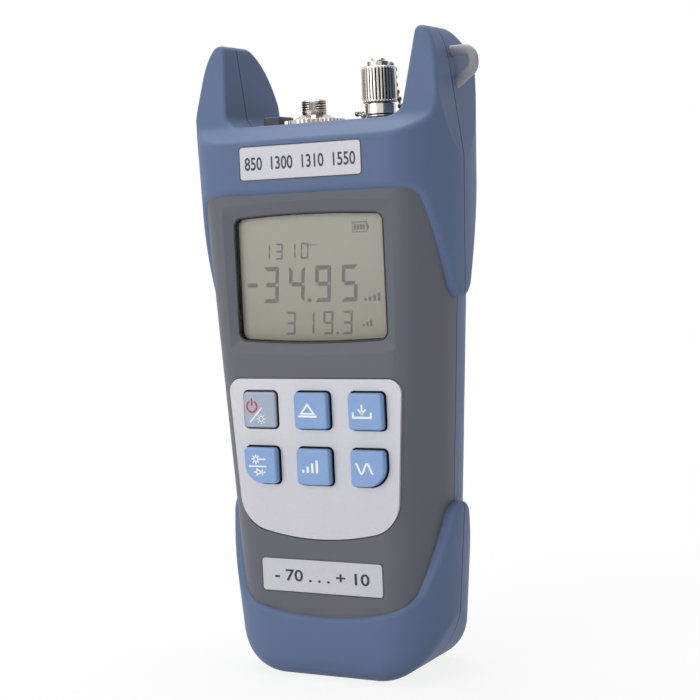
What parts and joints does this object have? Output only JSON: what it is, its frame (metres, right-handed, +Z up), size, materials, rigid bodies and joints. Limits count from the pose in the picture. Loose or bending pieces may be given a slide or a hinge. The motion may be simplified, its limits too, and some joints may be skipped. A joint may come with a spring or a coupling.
{
  "type": "optical power meter",
  "caption": "Handheld fibre power meter with a horned two-colour housing, display, rubber keys, a threaded detector port and a capped fault-finder laser port.",
  "frame": {"origin": "under the middle of the flat foot, on the parting plane of the shells", "axes": "+Z up through the connector panel, the display faces -Y, +X to the right seen from the front"},
  "size_m": [0.0968, 0.0439, 0.1964],
  "materials": {
    "grey_shell": "fine moulded texture",
    "blue_shell": "fine moulded texture",
    "window": "clear acrylic",
    "lcd_glass": "reflective display film",
    "white_plastic": "moulded",
    "silver_film": "printed silver film",
    "keypad_silver": "silver print",
    "nickel": "nickel plate",
    "white_ceramic": "ground ceramic",
    "brass": "turned",
    "black_plastic": "moulded",
    "dark_rubber": "moulded rubber",
    "loop_rubber": "moulded rubber",
    "board_green": "solder mask",
    "screw_steel": "zinc plate",
    "cell_wrap": "plastic wrap",
    "spring_steel": "nickel plate",
    "power_key": "moulded rubber",
    "blue_key": "moulded rubber"
  },
  "bodies": {
    "housing": {"front_shell": "grey_shell", "top_bumper": "blue_shell", "bottom_bumper": "blue_shell", "rear_shell": "blue_shell", "display_window": "window", "lcd_panel": "lcd_glass", "lcd_frame": "white_plastic", "top_label": "silver_film", "bottom_label": "silver_film", "keypad_plate": "keypad_silver", "detector_flange": "nickel", "detector_barrel": "nickel", "detector_sleeve": "white_ceramic", "photodiode": "nickel", "port_nuts": "nickel", "connector_panel": "blue_shell", "laser_port": "nickel", "laser_module": "brass", "chain_anchor": "nickel", "bead_chain": "nickel", "power_jack": "black_plastic", "strap_loop_left": "loop_rubber", "strap_loop_right": "loop_rubber", "main_board": "board_green", "key_switches": "black_plastic", "board_screws": "screw_steel", "shell_screws": "screw_steel", "battery_cell_1": "cell_wrap", "battery_cell_2": "cell_wrap", "battery_cell_3": "cell_wrap", "battery_contacts": "spring_steel"},
    "key_power_body": {"key_power": "power_key"},
    "key_reference_body": {"key_reference": "blue_key"},
    "key_save_body": {"key_save": "blue_key"},
    "key_laser_body": {"key_laser": "blue_key"},
    "key_decibel_body": {"key_decibel": "blue_key"},
    "key_wavelength_body": {"key_wavelength": "blue_key"},
    "cap_ring": {"swivel_ring": "nickel"},
    "cap": {"laser_cap": "nickel"},
    "plug": {"jack_plug": "dark_rubber"},
    "door": {"battery_door": "blue_shell"}
  },
  "joints": [
    {"name": "press_power", "type": "slide", "parent": "housing", "child": "key_power_body", "axis": [0, 1, 0], "range_m": [0, 0.001], "stiffness_N_per_m": 300},
    {"name": "press_reference", "type": "slide", "parent": "housing", "child": "key_reference_body", "axis": [0, 1, 0], "range_m": [0, 0.001], "stiffness_N_per_m": 300},
    {"name": "press_save", "type": "slide", "parent": "housing", "child": "key_save_body", "axis": [0, 1, 0], "range_m": [0, 0.001], "stiffness_N_per_m": 300},
    {"name": "press_laser", "type": "slide", "parent": "housing", "child": "key_laser_body", "axis": [0, 1, 0], "range_m": [0, 0.001], "stiffness_N_per_m": 300},
    {"name": "press_decibel", "type": "slide", "parent": "housing", "child": "key_decibel_body", "axis": [0, 1, 0], "range_m": [0, 0.001], "stiffness_N_per_m": 300},
    {"name": "press_wavelength", "type": "slide", "parent": "housing", "child": "key_wavelength_body", "axis": [0, 1, 0], "range_m": [0, 0.001], "stiffness_N_per_m": 300},
    {"name": "cap_lift", "type": "slide", "parent": "housing", "child": "cap_ring", "axis": [0, 0, 1], "range_m": [0, 0.009], "deforming": ["bead_chain"]},
    {"name": "cap_turn", "type": "hinge", "parent": "cap_ring", "child": "cap", "pos_m": [0.0162, 0.002, 0.1807], "axis": [0, 0, 1], "range_deg": [0, 4320]},
    {"name": "plug_pull", "type": "slide", "parent": "housing", "child": "plug", "axis": [0, 0, 1], "range_m": [0, 0.012]},
    {"name": "door_swing", "type": "hinge", "parent": "housing", "child": "door", "pos_m": [0, 0.02, 0.0275], "axis": [-1, 0, 0], "range_deg": [0, 80]}
  ],
  "couplings": [
    {"joint": "cap_turn", "follows": "cap_lift", "rad_per_m": 8377.6}
  ]
}
